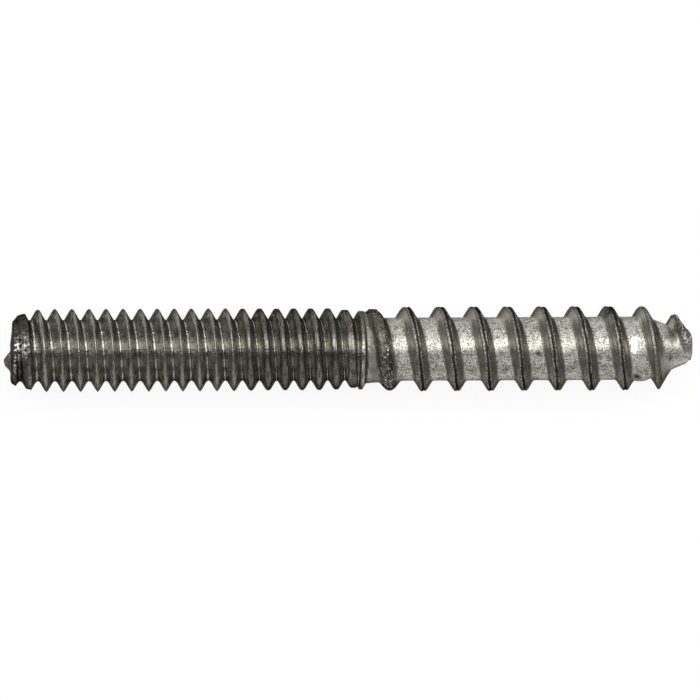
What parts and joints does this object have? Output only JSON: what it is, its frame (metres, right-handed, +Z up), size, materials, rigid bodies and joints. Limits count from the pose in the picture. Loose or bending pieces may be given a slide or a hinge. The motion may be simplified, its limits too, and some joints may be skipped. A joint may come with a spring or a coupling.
{
  "type": "hanger bolt",
  "caption": "Steel rod with a machine thread on one end and a pointed wood thread on the other, lying on its side.",
  "frame": {"origin": "under the middle of the bolt's length, on the surface it lies on", "axes": "+X along the bolt, from the sheared end of the machine thread towards the point of the wood thread; +Z up"},
  "size_m": [0.0514, 0.0064, 0.0063],
  "materials": {
    "steel": "rolled steel with a dull zinc coat, mottled and scuffed"
  },
  "bodies": {
    "root": {"hanger_bolt": "steel"}
  },
  "joints": []
}
